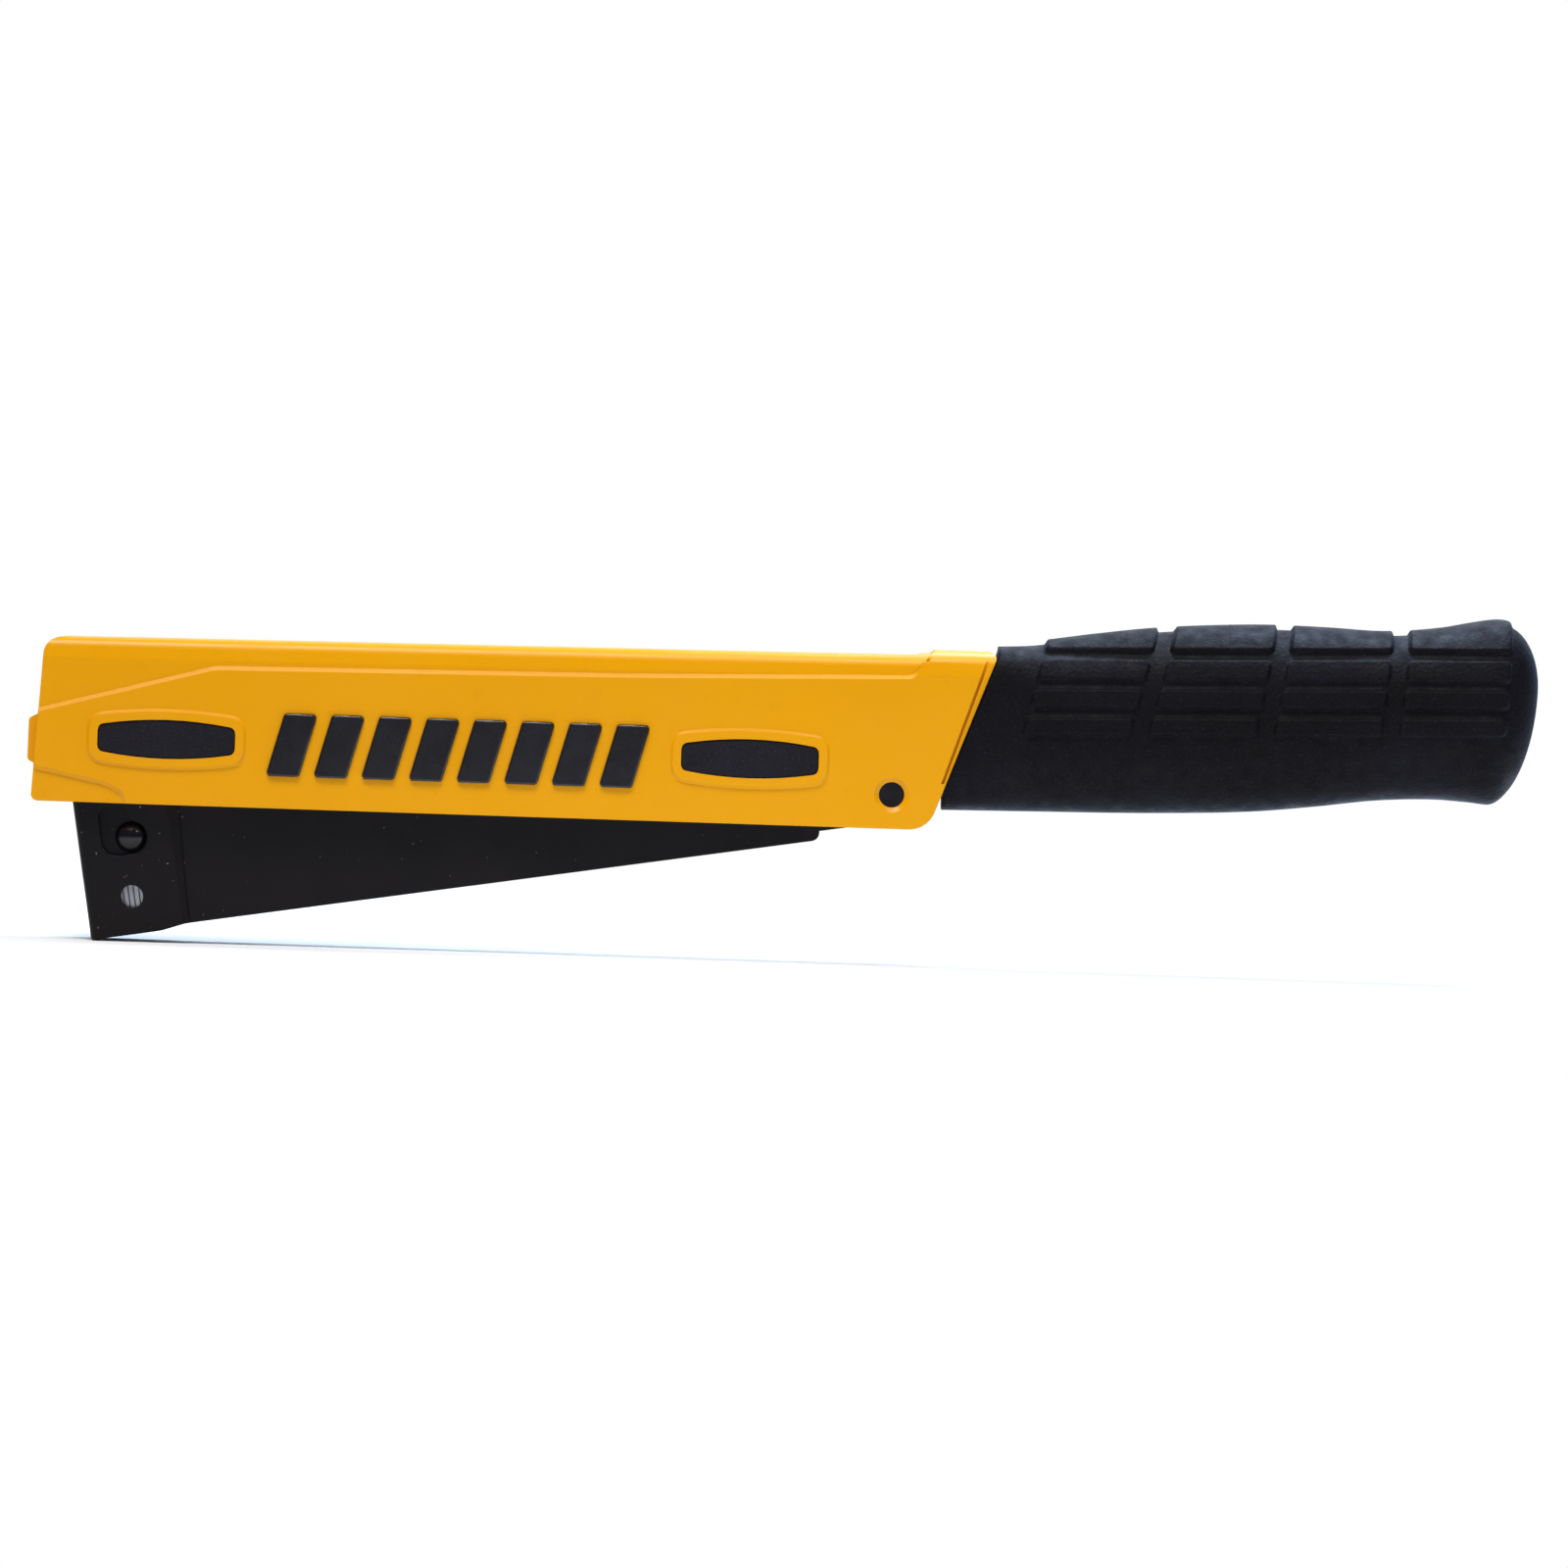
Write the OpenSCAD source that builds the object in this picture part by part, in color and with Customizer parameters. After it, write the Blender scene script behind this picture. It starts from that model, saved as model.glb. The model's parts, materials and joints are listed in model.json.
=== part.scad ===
// Hammer tacker: a spring-return stapling hammer for roofing felt and house wrap.
// The yellow head channel and its handle swing down over a black staple magazine
// that pivots on one pin. The driver blade is fixed to the head, so that closing
// the magazine into the head pushes the front staple out of the nose.
//
// Frame: +X points from the nose to the handle's butt, +Z points up, and Y = 0 is the
// tool's mid-plane. The origin is the middle of the nose plate's sole, just in front of
// the slot that a staple leaves through, with the tool at rest.
// Most modules are drawn about the pivot pin, and place() carries them to that origin.
// Magazine parts are drawn with the magazine level and tilted by in_magazine().

/* [Head] */
// Length from the pivot pin to the head's front face
head_front = 202.6; // [195:0.1:210]
// Height of the head's bottom rim under the pivot
head_drop = 8; // [7.5:0.1:8.5]
// Height of the head's top above the pivot at its front end
head_rise_front = 30.7; // [30.5:0.1:32]
// Height of the head's top above the pivot at its rear step
head_rise_rear = 32.9; // [32.7:0.1:34]
// Width of the head across its plain side walls
head_w = 24.6; // [24.6:0.1:26]
// Width inside the head channel
head_inner_w = 20.6; // [20.4:0.1:21]
// Thickness of the head's top and front walls
head_wall = 2.4; // [2:0.1:2.5]
// How far the raised side panel stands out
panel_h = 0.8; // [0.5:0.1:1]
// Lean of the head's rear edge from upright, in degrees
rear_lean = 20.3; // [18:0.1:22]

/* [Motion] */
// Droop of the magazine below the head's rim when the tool is at rest, in degrees
rest_tilt = 9.4; // [9.2:0.1:9.6]
// Angle through which the magazine closes into the head, in degrees
strike_travel = 8; // [7.5:0.1:8]

/* [Magazine] */
// Depth of the magazine's bottom edge under the pivot
mag_drop = 8.5; // [8.4:0.1:8.6]
// Height of the magazine's top at its front
mag_rise_front = 22; // [21:0.1:22]
// Height of the magazine's top at its rear
mag_rise_rear = 7.5; // [7:0.1:7.8]
// Thickness of the magazine's folded sheet
mag_sheet = 1.4; // [1.2:0.1:1.4]
// Width of the staple track inside the magazine
track_w = 11.6; // [11.5:0.1:11.7]
// Thickness of the nose guard's sheet
nose_sheet = 1.6; // [1.4:0.1:1.6]
// Length of the nose guard's cheeks
nose_len = 23.7; // [20:0.1:26]
// How far the nose face stands below the magazine's bottom edge
nose_foot = 0.9; // [0.5:0.1:1.2]

/* [Staples] */
// Width of a staple's crown, outside
crown_w = 11; // [10.9:0.1:11.1]
// Length of a staple's legs
leg_len = 10; // [8:0.5:10]
// Width of the staple wire along the strip
wire_pitch = 1.27; // [1.2:0.01:1.3]
// Number of staples left in the strip
staples = 40; // [20:1:44]

/* [Handle] */
// Distance from the pivot pin to the handle's butt
butt_x = 151.5; // [148:0.5:155]
// Width of the rubber grip at its middle
grip_w = 31; // [29:0.5:34]
// Height of the raised grip blocks
block_h = 1.2; // [0.8:0.1:1.4]
// Number of rows of finger blocks along the grip
block_columns = 4; // [3:1:4]
// Length of one grip block along the handle
block_len = 26; // [22:0.5:26]
// Spacing of the grip blocks along the handle
block_pitch = 29.3; // [28.5:0.1:29.3]

/* [Hidden] */
$fn = 48;
eps = 0.01;

// Driver slot in the nose, measured forward of the pivot with the magazine level
blade_t = 1.2;
blade_w = 10.8;
rail_front = 188;
blade_back = rail_front + 0.1;
slot_front = rail_front + 1.7;
nose_t = 2;
nose_front = slot_front + nose_t;
nose_bottom = -mag_drop - nose_foot;
driver_tilt = rest_tilt - strike_travel;

// The pivot's place, which puts the origin on the sole of the nose plate
sole_x = -slot_front - 0.8;
pivot_x = -(sole_x * cos(rest_tilt) - nose_bottom * sin(rest_tilt));
pivot_z = -(sole_x * sin(rest_tilt) + nose_bottom * cos(rest_tilt));

pin_r = 3;
pin_recess = 1.2;
running = 0.05;

mag_w = track_w + 2 * mag_sheet;
nose_w = mag_w + 2 * nose_sheet;
web_front = -176;
web_rear = 5;
ear_r = 6.4;

core_w = 8.2;
core_sheet = 1;
core_bottom = -6.4;
staple_top = 3.2;
crown_t = 1;
core_top = staple_top - crown_t;
strip_front = -rail_front + 0.05;
strip_rear = strip_front + staples * wire_pitch;
pusher_len = 10;
pusher_front = strip_rear + 0.05;
rod_z = -1.6;
rod_r = 1;
anchor_x = -52;
anchor_len = 3;
clip_x = -40;

spring_x = -149;
spring_low = -1.6;
spring_high = 28.7;
spring_wire = 1.4;
spring_mean_r = 4.9;

pad_size = [32.4, 9.2];
pad_z = 7.4;
pads_x = [-171, -33.6];
pad_floor = 1.1;
bezel_gap = 1.95;
bezel_h = 0.6;
bezel_draft = 0.6;
panel_draft = 1;

badge_bars = 8;
badge_x = [-147.4, -57.2];
badge_z = [-0.4, 14.4];
badge_gap = 3.4;
badge_lean = 4;
badge_floor = 0.5;
badge_h = 1.4;

panel_y = head_w / 2 + panel_h;

// ---------- helpers ----------

module place() { translate([pivot_x, 0, pivot_z]) children(); }
module in_magazine() { rotate([0, -rest_tilt, 0]) children(); }
module in_driver() { rotate([0, -driver_tilt, 0]) children(); }

// Extrudes an outline drawn in X and Z to a width centred on the mid-plane
module xz_plate(w) { rotate([90, 0, 0]) linear_extrude(w, center = true) children(); }
// Extrudes an X-Z outline from y0 to y1
module xz_slab(y0, y1) { translate([0, y1, 0]) rotate([90, 0, 0]) linear_extrude(y1 - y0) children(); }
// A cylinder across the tool, through a point of the X-Z plane
module cross_pin(x, z, r, w) { translate([x, 0, z]) rotate([90, 0, 0]) cylinder(r = r, h = w, center = true); }
// A box from two corners
module box(a, b) { translate(a) cube(b - a); }
// side = -1 keeps the left side (-Y), side = 1 makes the right side
module on_side(side) { mirror([0, side < 0 ? 1 : 0, 0]) children(); }

function unit(v) = v / norm(v);
// An outline whose corners [x, z, r] are rounded to radius r
function rounded(p, steps = 5) = [
    for (i = [0:len(p) - 1])
        let (
            b = [p[i][0], p[i][1]],
            r = p[i][2],
            before = p[(i + len(p) - 1) % len(p)],
            after = p[(i + 1) % len(p)],
            u = unit([before[0], before[1]] - b),
            v = unit([after[0], after[1]] - b),
            half = acos(u * v) / 2,
            c = b + unit(u + v) * r / sin(half),
            from = b + u * r / tan(half) - c,
            to = b + v * r / tan(half) - c
        )
        each (r == 0 ? [b] : [for (k = [0:steps]) c + r * unit(from * (1 - k / steps) + to * k / steps)])
];

// A plate whose edge slopes by `draft`, centred on the outline, over the last `rise` up to y1
module drafted_slab(y1, rise, draft) {
    translate([0, y1 - rise, 0]) rotate([90, 0, 0]) minkowski() {
        linear_extrude(eps) offset(delta = -draft / 2) children();
        mirror([0, 0, 1]) cylinder(r1 = draft, r2 = 0, h = rise, $fn = 8);
    }
}

// The head's slanted rear edge
function rear_edge(z) = 24.3 - (34.2 - z) * tan(rear_lean);
// Height of the roof inside the head, which the driver's holder and the screw bosses meet
roof_front = -head_front + head_wall + 2;
roof_rear = 5.2;
function roof(x) = head_rise_front - head_wall
    + (x - roof_front) * (head_rise_rear - head_rise_front) / (roof_rear - roof_front);
function web_top(x) = mag_rise_rear + (mag_rise_front - mag_rise_rear) * (web_rear - x) / (web_rear - web_front);

// ---------- springs ----------

// A round wire wound into a helix of `turns` about Z, with closed ends
module helix_wire(mean_r, wire_r, length, turns, per_turn, sides) {
    rings = turns * per_turn;
    span = length - 2 * wire_r;
    dead = 1 / turns;
    function climb(t) = wire_r + span * min(max((t - dead / 2) / (1 - dead), 0), 1);
    points = [
        for (i = [0:rings]) let (t = i / rings, a = 360 * turns * t)
            for (k = [0:sides - 1]) let (b = 360 * k / sides, r = mean_r + wire_r * cos(b))
                [r * cos(a), r * sin(a), climb(t) + wire_r * sin(b)]
    ];
    faces = concat(
        [[for (k = [0:sides - 1]) k]],
        [
            for (i = [0:rings - 1]) for (k = [0:sides - 1])
                let (a = i * sides + k, b = i * sides + (k + 1) % sides)
                each [[a, a + sides, b], [b, a + sides, b + sides]]
        ],
        [[for (k = [sides - 1:-1:0]) rings * sides + k]]
    );
    polyhedron(points, faces, convexity = 10);
}

// ---------- head ----------

module head_outline() {
    top = head_rise_rear + 1.3;
    polygon(rounded([
        [-head_front, -head_drop, 1.5],
        [-head_front + 2.2, head_rise_front, 4],
        [5.2, head_rise_rear, 3],
        [8.2, top, 3],
        [rear_edge(top), top, 1.5],
        [rear_edge(-head_drop), -head_drop, 6.3],
    ]));
}

// Inside of the head, seen from the side: open below, and closed behind by a flange above the ears
module head_cavity_outline() {
    flange = 2.2;
    sill = 9.4;
    polygon(rounded([
        [-head_front + head_wall, -head_drop - 2, 0],
        [roof_front, roof(roof_front), 3],
        [roof_rear, roof(roof_rear), 0],
        [rear_edge(roof(roof_rear)) - flange, roof(roof_rear), 1],
        [rear_edge(sill) - flange, sill, 0],
        [40, sill, 0],
        [40, -head_drop - 2, 0],
    ]));
}

// Cross-section of the head's outer skin, with rounded shoulders
module head_section(grow) {
    r = 3.6;
    shoulder = 1.1;
    fold = head_rise_front - 5;
    half = head_w / 2;
    offset(delta = grow) polygon(rounded([
        [-half, -head_drop - 3, 0],
        [half, -head_drop - 3, 0],
        [half, fold, 3],
        [half - shoulder, head_rise_front + 0.35, r],
        [-half + shoulder, head_rise_front + 0.35, r],
        [-half, fold, 3],
    ]));
}

// The same section swept along the head, climbing with its top
module head_skin(grow = 0) {
    climb = atan((head_rise_rear - head_rise_front) / (head_front + 5));
    length = head_front + 60;
    translate([-head_front - 10, 0, 0]) rotate([0, -climb, 0])
        rotate([90, 0, 90]) linear_extrude(length) head_section(grow);
}

// The raised panel on a side wall. It wraps over the roof behind the step.
module panel_outline() { polygon(rounded([
    [-head_front - 3, 0.6, 0],
    [-head_front + 0.4, 0, 0],
    [-185, -3.4, 12],
    [-181, -5.6, 2.5],
    [-180, -head_drop - 3, 0],
    [30, -head_drop - 3, 0],
    [30, 37, 0],
    [10.5, 37, 0],
    [4.6, 27.9, 3.5],
    [-63, 26, 0],
    [-160, 24.6, 12],
    [-head_front + 1, 13.4, 0],
    [-head_front - 3, 12.4, 0],
])); }

// The part of the panels' wrap that lies on the roof between them, with a ramp in front
module wrap_outline() { polygon([[5.9, 29.5], [30, 29.5], [30, 36.6], [12, 36.6], [7.7, 33]]); }

// Narrow groove in the side wall, close to its rear edge
rear_groove_depth = 1;
module rear_groove_outline() { polygon([[11.6, 3], [12.2, 3], [22.3, 33], [21.6, 33]]); }

// Band that joins the two panels round the front
module band_outline() {
    polygon(rounded([
        [-head_front - 1.1, 1.6, 1],
        [-head_front + 4, -1, 0],
        [-head_front + 4, 14, 0],
        [-head_front - 1, 11.4, 1],
    ]));
}

// Barrel-shaped outline of a side pad, grown by `grow`
module pad_outline(grow = 0) {
    half = pad_size[0] / 2 + grow;
    mid = pad_size[1] / 2 + grow;
    tip = mid - 1.5;
    bow = (half * half + pow(mid - tip, 2)) / (2 * (mid - tip));
    corner = 1.4 + grow * 0.8;
    edge = [for (k = [0:8]) let (x = -half + corner + k * (half - corner) / 4) [x, mid - bow + sqrt(bow * bow - x * x)]];
    side_z = tip - corner;
    polygon(concat(
        edge,
        [for (k = [0:3]) [half - corner + corner * sin(k * 30), side_z + (edge[8][1] - side_z) * cos(k * 30)]],
        [for (k = [0:3]) [half - corner + corner * cos(k * 30), -side_z - (edge[8][1] - side_z) * sin(k * 30)]],
        [for (k = [8:-1:0]) [edge[k][0], -edge[k][1]]],
        [for (k = [0:3]) [-half + corner - corner * sin(k * 30), -side_z - (edge[8][1] - side_z) * cos(k * 30)]],
        [for (k = [0:3]) [-half + corner - corner * cos(k * 30), side_z + (edge[8][1] - side_z) * sin(k * 30)]]
    ));
}

module badge_bar(i) {
    width = (badge_x[1] - badge_x[0] - badge_lean - (badge_bars - 1) * badge_gap) / badge_bars;
    x = badge_x[0] + i * (width + badge_gap);
    polygon(rounded([
        [x, badge_z[0], 0.8],
        [x + width, badge_z[0], 0.8],
        [x + width + badge_lean, badge_z[1], 0.8],
        [x + badge_lean, badge_z[1], 0.8],
    ], 3));
}

// Screw places under the head's top: the holder's two and the handle's two
holder_screw_x = [-183, -171.5];
handle_screw_x = [-21, -7];
boss_r = 3.6;
boss_h = 5;

module head_housing() {
    color("goldenrod") place() {
        difference() {
            union() {
                intersection() {
                    xz_plate(head_w + 10) head_outline();
                    head_skin();
                }
                intersection() {
                    union() {
                        for (side = [-1, 1]) on_side(side) {
                            drafted_slab(panel_y, panel_h, panel_draft) panel_outline();
                            xz_slab(head_inner_w / 2 + 1, panel_y - 0.1) offset(delta = -panel_draft / 2 - 0.1)
                                panel_outline();
                        }
                        xz_plate(head_w - 1) wrap_outline();
                    }
                    head_skin(panel_h + 0.05);
                    xz_plate(2 * panel_y + 2) head_outline();
                }
                for (side = [-1, 1]) on_side(side)
                    for (x = pads_x) translate([x, 0, pad_z]) hull() {
                        xz_slab(head_inner_w / 2 + 1, panel_y) pad_outline(bezel_gap + bezel_draft);
                        xz_slab(head_inner_w / 2 + 1, panel_y + bezel_h) pad_outline(bezel_gap);
                    }
                xz_plate(head_w - 2) band_outline();
            }
            xz_plate(head_inner_w) head_cavity_outline();
            xz_plate(tongue_w) tongue_outline();
            for (side = [-1, 1]) on_side(side) {
                for (x = pads_x) translate([x, 0, pad_z]) {
                    xz_slab(panel_y - pad_floor, panel_y + 2) pad_outline();
                    for (dx = [-9, 9]) translate([dx, 0, 0]) rotate([90, 0, 0])
                        cylinder(r = 1.55, h = 60, center = true);
                }
                for (i = [0:badge_bars - 1])
                    xz_slab(panel_y - badge_floor, panel_y + 2) badge_bar(i);
                xz_slab(panel_y - rear_groove_depth, panel_y + 1) rear_groove_outline();
                // Dished rim round the pivot pin
                translate([0, panel_y + eps, 0]) rotate([90, 0, 0]) cylinder(r1 = 4.2, r2 = pin_r, h = 0.9);
            }
            cross_pin(0, 0, pin_r, 60);
        }
        // Bosses that the hidden screws bite into, and the spring's upper stud
        for (x = concat(holder_screw_x, handle_screw_x)) difference() {
            z = roof(x);
            translate([x, 0, z - boss_h]) cylinder(r = boss_r, h = boss_h + 1);
            translate([x, 0, z - boss_h - eps]) cylinder(r = 2, h = boss_h);
        }
        translate([spring_x, 0, spring_high - 3.5]) cylinder(r = 3.6, h = 4.5);
        translate([spring_x, 0, spring_high]) cylinder(r = 6.5, h = 1);
    }
}

// ---------- handle ----------

grip_axis_rise = 3.6;
core_h = 27;
core_t = 18;
tube_wall = 2.4;
core_end = 141;

// Height of the grip's middle line, for placing the core
function grip_mid(x) = 15.3 + x * tan(grip_axis_rise);

module core_section(grow = 0) {
    h = core_h / 2 + grow;
    w = core_t / 2 + grow;
    r = 6 + grow;
    polygon(rounded([[-w, -h, r], [w, -h, r], [w, h, r], [-w, h, r]]));
}

// A bar of the core's section along the handle from x0 to x1
module core_bar(x0, x1, grow = 0) {
    c = cos(grip_axis_rise);
    translate([0, 0, grip_mid(0)]) rotate([0, -grip_axis_rise, 0])
        translate([x0 / c, 0, 0]) rotate([90, 0, 90]) linear_extrude((x1 - x0) / c) core_section(grow);
}

tongue_w = head_inner_w - 3;

module tongue_outline() {
    polygon(rounded([
        [-30, 13.5, 2],
        [2, 13.5, 0],
        [3, 9.6, 0],
        [30, 9.6, 0],
        [30, 30.1, 0],
        [-30, 29.9, 2],
    ]));
}

module handle_core() {
    color("dimgray") place() difference() {
        union() {
            xz_plate(tongue_w) tongue_outline();
            core_bar(24, core_end);
        }
        core_bar(36, core_end + 5, -tube_wall);
        for (x = handle_screw_x) let (z = roof(x)) {
            translate([x, 0, z - boss_h - 0.2]) cylinder(r = boss_r + 0.2, h = 20);
            translate([x, 0, 0]) cylinder(r = 2.2, h = 40);
            translate([x, 0, 0]) cylinder(r = 4.2, h = 17.5);
        }
    }
}

// Cap screw pointing up: the head's foot is at z0 and the shank ends at z1
module cap_screw(x, z0, z1, r, head_r, head_h) {
    difference() {
        union() {
            translate([x, 0, z0]) cylinder(r = head_r, h = head_h);
            translate([x, 0, z0]) cylinder(r = r, h = z1 - z0);
        }
        translate([x, 0, z0 - eps]) cylinder(r = head_r / 2, h = head_h * 0.6, $fn = 6);
    }
}

module handle_screws() {
    color("silver") place() for (x = handle_screw_x)
        cap_screw(x, 13.7, roof(x) - 0.5, 2, 3.8, 3.8);
}

module butt_plug() {
    color("black") place() union() {
        core_bar(core_end - 12, core_end + 1, -tube_wall - 0.1);
        core_bar(core_end, core_end + 2.5);
    }
}

// Outline of the bare grip, without its blocks: [x, height] along the top and the bottom
grip_top = [[10, 33], [24, 35.3], [33, 36], [47, 38.2], [60, 40], [75, 41.2], [88, 41.7],
    [102, 41.5], [115, 41.1], [128, 42.3], [136, 43.9], [141, 44.7], [145, 44.6]];
grip_bottom = [[10, -3.4], [30, -3.2], [65, -2.5], [86, -1.4], [100, 0.2], [114, 2.1], [128, 2.8],
    [136, 2.4], [141, 2], [145, 2.4]];
grip_width = [[10, 27.4], [30, 29.4], [60, grip_w], [90, grip_w], [115, grip_w - 0.6], [128, grip_w - 0.2],
    [140, grip_w + 2], [145, grip_w + 1.8]];
// Lean of the grip's rings: the front one follows the head's rear edge, and the butt's are near upright.
// The front ring is upright below lean_low.
grip_lean = [[18.6, tan(rear_lean)], [30, 0.25], [60, 0.25], [90, 0.17], [120, 0.1], [142, 0.05]];
grip_front = 18.6;
grip_ref_z = 18;
lean_low = 0;
cap_x = 141.5;
cap_len = butt_x - cap_x;
// Height towards which the butt's rings shrink
cap_z = 28;

block_edge = 0.6;
block_starts = [for (i = [0:block_columns - 1]) 30.4 + i * block_pitch];
// Rings at the blocks' ends, so that their edges are crisp, and enough between them for the curves
grip_rings = concat(
    [grip_front, 24],
    [for (s = block_starts) each [s, s + block_edge, s + block_len / 3, s + 2 * block_len / 3,
        s + block_len - block_edge, s + block_len]],
    [for (a = [28:9:90]) cap_x + cap_len * sin(a)]
);

// Height of the rows' edges at the middle of the grip, with their rise towards the butt
block_rows = [[16.1, 21], [22.4, 27.5], [28.6, 34.3]];
crest_row = 35.4;
row_rise = tan(1.7);
row_mid_x = 75;
// Lines along one side of the grip from below: [angle or height, true for a height, 1 if raised]
side_lines = concat(
    [for (a = [-75:15:-30]) [a, false, 0]],
    [for (r = block_rows) each [[r[0], true, 0], [r[0] + block_edge, true, 1],
        [r[1] - block_edge, true, 1], [r[1], true, 0]]],
    [[crest_row, true, 0], [crest_row + block_edge, true, 1], [66, false, 1], [78, false, 1]]
);
grip_lines = concat(
    [[-90, false, 0]],
    side_lines,
    [[90, false, 1]],
    [for (k = [len(side_lines) - 1:-1:0]) [side_lines[k][0], side_lines[k][1], side_lines[k][2], true]]
);

// A power below 1 makes the section fuller than an ellipse: nearly square against the head
grip_power = [[18.6, 0.42], [40, 0.82]];
function fuller(v, power) = sign(v) * pow(abs(v), power);
function section_angle(v, power) = asin(sign(v) * pow(min(abs(v), 0.999), 1 / power));
function in_column(x) = len([for (s = block_starts)
    if (x >= s + block_edge - eps && x <= s + block_len - block_edge + eps) 1]);
function cap_scale(x) = x <= cap_x ? 1 : sqrt(max(1 - pow((x - cap_x) / cap_len, 2), 0.0004));

function grip_point(x, line) =
    let (
        lean = lookup(x, grip_lean),
        power = lookup(x, grip_power),
        hi = lookup(x + 22 * lean, grip_top),
        lo = lookup(x - 20 * lean, grip_bottom),
        mid = (hi + lo) / 2,
        half = (hi - lo) / 2,
        a = line[1] ? section_angle((line[0] + (x - row_mid_x) * row_rise - mid) / half, power) : line[0],
        grow = block_h * line[2] * in_column(x),
        z = mid + (half + grow) * fuller(sin(a), power),
        y = (lookup(x, grip_width) / 2 + grow * 0.8) * fuller(cos(a), power),
        shown_z = x <= cap_x ? z : cap_z + (z - cap_z) * cap_scale(x),
        lean_at = x > grip_front ? shown_z : max(shown_z, lean_low)
    )
    [x + lean * (lean_at - grip_ref_z), (len(line) > 3 ? -y : y) * cap_scale(x), shown_z];

module grip_body() {
    n = len(grip_lines);
    m = len(grip_rings);
    points = [for (x = grip_rings) for (line = grip_lines) grip_point(x, line)];
    faces = concat(
        [[for (k = [0:n - 1]) k]],
        [
            for (i = [0:m - 2]) for (k = [0:n - 1])
                let (a = i * n + k, b = i * n + (k + 1) % n)
                each [[a, a + n, b], [b, a + n, b + n]]
        ],
        [[for (k = [n - 1:-1:0]) (m - 1) * n + k]]
    );
    polyhedron(points, faces, convexity = 6);
}

module grip_sleeve() {
    color("black") place() difference() {
        grip_body();
        core_bar(0, core_end, 0.05);
        core_bar(core_end - 1, core_end + 2.6, 0.05);
        xz_plate(tongue_w + 0.1) tongue_outline();
    }
}

// ---------- side pads and badge ----------

module side_pad(x, side) {
    color("black") place() on_side(side) translate([x, 0, pad_z]) {
        xz_slab(panel_y - pad_floor, panel_y + 0.35) pad_outline(-0.05);
        for (dx = [-9, 9]) translate([dx, panel_y - pad_floor + 0.5, 0]) rotate([90, 0, 0])
            cylinder(r = 1.5, h = panel_y - pad_floor + 0.5 - head_inner_w / 2);
    }
}

module badge(side) {
    color("black") place() on_side(side) for (i = [0:badge_bars - 1])
        xz_slab(panel_y - badge_floor, panel_y - badge_floor + badge_h) badge_bar(i);
}

// ---------- pivot ----------

module pivot_pin() {
    color("black") place() cross_pin(0, 0, pin_r, 2 * (panel_y - pin_recess));
}

// Flanged bush in one magazine ear, reaching in to space the rail
module pivot_bush(side) {
    color("peru") place() in_magazine() on_side(side) difference() {
        union() {
            translate([0, head_inner_w / 2 - 0.1, 0]) rotate([90, 0, 0])
                cylinder(r = 5.6, h = head_inner_w / 2 - 0.1 - mag_w / 2);
            translate([0, mag_w / 2 + 0.5, 0]) rotate([90, 0, 0])
                cylinder(r = 4.2, h = mag_w / 2 + 0.5 - core_w / 2 - 0.1);
        }
        cross_pin(0, 0, pin_r + running, 60);
    }
}

// ---------- driver ----------

module driver_holder() {
    color("slategray") place() difference() {
        xz_plate(11) polygon([
            [-187.6, 12.6], [-177.6, 12.6], [-177.6, 19.8], [-166, 19.8],
            [-166, roof(-166)], [-188.6, roof(-188.6)],
        ]);
        in_driver() box([-rail_front - 20, -20, -20], [-blade_back, 20, 60]);
        for (x = holder_screw_x) let (z = roof(x)) {
            translate([x, 0, z - boss_h - 0.2]) cylinder(r = boss_r + 0.1, h = 20);
            translate([x, 0, 0]) cylinder(r = 2.1, h = 60);
        }
        translate([holder_screw_x[0], 0, 0]) cylinder(r = 3.4, h = 16.6);
        translate([holder_screw_x[1], 0, 0]) cylinder(r = 3.4, h = 22.2);
        in_driver() rivet_shanks();
    }
}

// Countersunk rivets, flush with the blade's front
rivet_z = [18.5, 25];
rivet_shank_r = 1.2;
rivet_len = 2.6;

module rivet_shanks() {
    for (z = rivet_z) translate([-blade_back - blade_t, 0, z]) rotate([0, 90, 0])
        cylinder(r = rivet_shank_r, h = rivet_len);
}

module rivet_heads() {
    for (z = rivet_z) translate([-blade_back - blade_t, 0, z]) rotate([0, 90, 0])
        cylinder(r1 = 2.1, r2 = rivet_shank_r, h = 0.9);
}

module driver_blade() {
    color("lightgray") place() in_driver() difference() {
        box([-blade_back - blade_t, -blade_w / 2, nose_bottom], [-blade_back, blade_w / 2, 31]);
        rivet_shanks();
        rivet_heads();
    }
}

module blade_rivets() {
    color("silver") place() in_driver() {
        rivet_shanks();
        rivet_heads();
    }
}

module holder_screws() {
    color("silver") place() {
        cap_screw(holder_screw_x[0], 13.2, roof(holder_screw_x[0]) - 0.5, 2, 3.2, 3.2);
        cap_screw(holder_screw_x[1], 20.2, roof(holder_screw_x[1]) - 0.5, 2, 3.2, 1.8);
    }
}

module strike_bumper() {
    x0 = -129;
    x1 = -111;
    gap = 0.3;
    color("black") place() intersection() {
        in_driver() xz_plate(12) polygon([
            [x0, web_top(x0) + gap], [x1, web_top(x1) + gap], [x1, 40], [x0, 40],
        ]);
        xz_plate(30) head_cavity_outline();
    }
}

module return_spring() {
    color("silver") place() translate([spring_x, 0, spring_low])
        helix_wire(spring_mean_r, spring_wire / 2, spring_high - spring_low, 5, 18, 8);
}

// ---------- magazine ----------

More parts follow.
